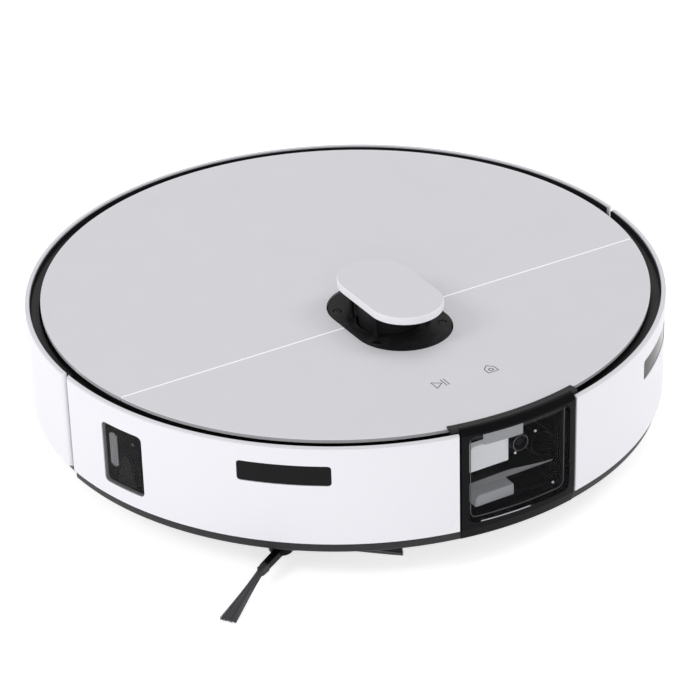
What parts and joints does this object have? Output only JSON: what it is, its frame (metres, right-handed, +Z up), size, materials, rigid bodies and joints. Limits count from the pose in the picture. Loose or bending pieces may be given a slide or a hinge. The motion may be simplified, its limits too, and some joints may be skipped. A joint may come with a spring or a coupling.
{
  "type": "robot vacuum",
  "caption": "Round robot vacuum with a laser turret, sprung bumper with sensor windows, lift-up lid over the dust bin, drive wheels, roller brush and corner brush.",
  "frame": {"origin": "centre of the round body, on the floor", "axes": "+Z up, the robot drives towards -Y, its left side is +X"},
  "size_m": [0.35, 0.35, 0.0955],
  "materials": {
    "white_shell": "satin white moulded shell",
    "grey_deck": "fine textured cool grey",
    "black_plastic": "fine textured black",
    "dark_plastic": "moulded charcoal",
    "black_gloss": "polished infrared window",
    "smoked_window": "smoked clear window",
    "grey_plastic": "moulded mid grey",
    "pale_plastic": "pale diffuser plastic",
    "smoked_bin": "smoked clear bin",
    "rubber": "soft black rubber",
    "tyre": "ribbed tyre rubber",
    "bristle": "nylon bristle",
    "steel": "plated steel",
    "contact": "plated charging contact",
    "board": "solder mask green",
    "cells": "film wrapped cells"
  },
  "bodies": {
    "root": {"chassis_base": "dark_plastic", "mid_frame": "black_plastic", "inner_deck": "black_plastic", "rear_side_shell": "white_shell", "deck_front": "grey_deck", "optics_housing": "grey_plastic", "camera_barrel": "black_plastic", "camera_lens": "black_gloss", "fill_light_diffuser": "pale_plastic", "line_laser_block": "pale_plastic", "turret_base": "black_plastic", "turret_cap": "white_shell", "lidar_bracket": "dark_plastic", "lidar_motor": "steel", "lidar_belt": "rubber", "turret_screw_1": "steel", "turret_screw_2": "steel", "turret_screw_3": "steel", "turret_screw_4": "steel", "brush_housing": "dark_plastic", "brush_bearing_left": "grey_plastic", "brush_bearing_right": "grey_plastic", "brush_guard": "dark_plastic", "brush_motor": "steel", "brush_gearbox": "dark_plastic", "side_brush_gearbox": "dark_plastic", "dust_bin": "smoked_bin", "bin_cover": "black_plastic", "fan_housing": "dark_plastic", "battery": "cells", "main_board": "board", "charge_contact_left": "contact", "charge_contact_right": "contact"},
    "bumper": {"bumper_panel_right": "white_shell", "bumper_panel_left": "white_shell", "bumper_carrier": "black_plastic", "front_window": "smoked_window", "ir_window_left": "black_gloss", "ir_window_right": "black_gloss", "wall_sensor_window": "black_gloss"},
    "lid": {"lid": "grey_deck"},
    "lidar_head": {"lidar_head": "black_plastic"},
    "motor_pulley": {"lidar_motor_pulley": "grey_plastic"},
    "arm_left": {"suspension_arm_left": "dark_plastic", "suspension_spring_left": "steel"},
    "arm_right": {"suspension_arm_right": "dark_plastic", "suspension_spring_right": "steel"},
    "wheel_left": {"tyre_left": "tyre", "rim_left": "grey_plastic"},
    "wheel_right": {"tyre_right": "tyre", "rim_right": "grey_plastic"},
    "caster": {"caster_fork": "dark_plastic", "caster_axle": "steel"},
    "caster_wheel": {"caster_wheel": "rubber"},
    "main_brush": {"main_brush": "bristle"},
    "side_brush": {"side_brush_hub": "black_plastic", "side_brush_tuft_1": "bristle", "side_brush_tuft_2": "bristle", "side_brush_tuft_3": "bristle"},
    "fan_impeller": {"fan_impeller": "pale_plastic"}
  },
  "joints": [
    {"name": "bumper_slide", "type": "slide", "parent": "root", "child": "bumper", "axis": [0, 1, 0], "range_m": [0, 0.0025], "stiffness_N_per_m": 600, "springref_m": -0.003},
    {"name": "lid_hinge", "type": "hinge", "parent": "root", "child": "lid", "pos_m": [0, 0.158, 0.0725], "axis": [-1, 0, 0], "range_deg": [0, 55]},
    {"name": "lidar_spin", "type": "hinge", "parent": "root", "child": "lidar_head", "pos_m": [0, -0.0467, 0.075], "axis": [0, 0, 1], "continuous": true},
    {"name": "motor_pulley_spin", "type": "hinge", "parent": "root", "child": "motor_pulley", "pos_m": [0, -0.083, 0.063], "axis": [0, 0, 1], "continuous": true},
    {"name": "suspension_left", "type": "hinge", "parent": "root", "child": "arm_left", "pos_m": [0.0965, 0.048, 0.045], "axis": [1, 0, 0], "range_deg": [0, 15], "stiffness_Nm_per_rad": 0.3, "springref_deg": 34.38, "deforming": ["suspension_spring_left"]},
    {"name": "wheel_spin_left", "type": "hinge", "parent": "arm_left", "child": "wheel_left", "pos_m": [0.116, 0, 0.033], "axis": [1, 0, 0], "continuous": true},
    {"name": "suspension_right", "type": "hinge", "parent": "root", "child": "arm_right", "pos_m": [-0.0965, 0.048, 0.045], "axis": [1, 0, 0], "range_deg": [0, 15], "stiffness_Nm_per_rad": 0.3, "springref_deg": 34.38, "deforming": ["suspension_spring_right"]},
    {"name": "wheel_spin_right", "type": "hinge", "parent": "arm_right", "child": "wheel_right", "pos_m": [-0.116, 0, 0.033], "axis": [1, 0, 0], "continuous": true},
    {"name": "caster_swivel", "type": "hinge", "parent": "root", "child": "caster", "pos_m": [0, -0.122, 0.03], "axis": [0, 0, 1], "continuous": true},
    {"name": "caster_wheel_spin", "type": "hinge", "parent": "caster", "child": "caster_wheel", "pos_m": [0, -0.116, 0.013], "axis": [1, 0, 0], "continuous": true},
    {"name": "main_brush_spin", "type": "hinge", "parent": "root", "child": "main_brush", "pos_m": [0, 0.03, 0.0225], "axis": [1, 0, 0], "continuous": true},
    {"name": "side_brush_spin", "type": "hinge", "parent": "root", "child": "side_brush", "pos_m": [-0.1086, -0.1152, 0.01], "axis": [0, 0, 1], "continuous": true},
    {"name": "fan_spin", "type": "hinge", "parent": "root", "child": "fan_impeller", "pos_m": [0.085, 0.092, 0.03], "axis": [0, 0, 1], "continuous": true}
  ],
  "couplings": [
    {"joint": "motor_pulley_spin", "follows": "lidar_spin", "ratio": 3.4084}
  ]
}
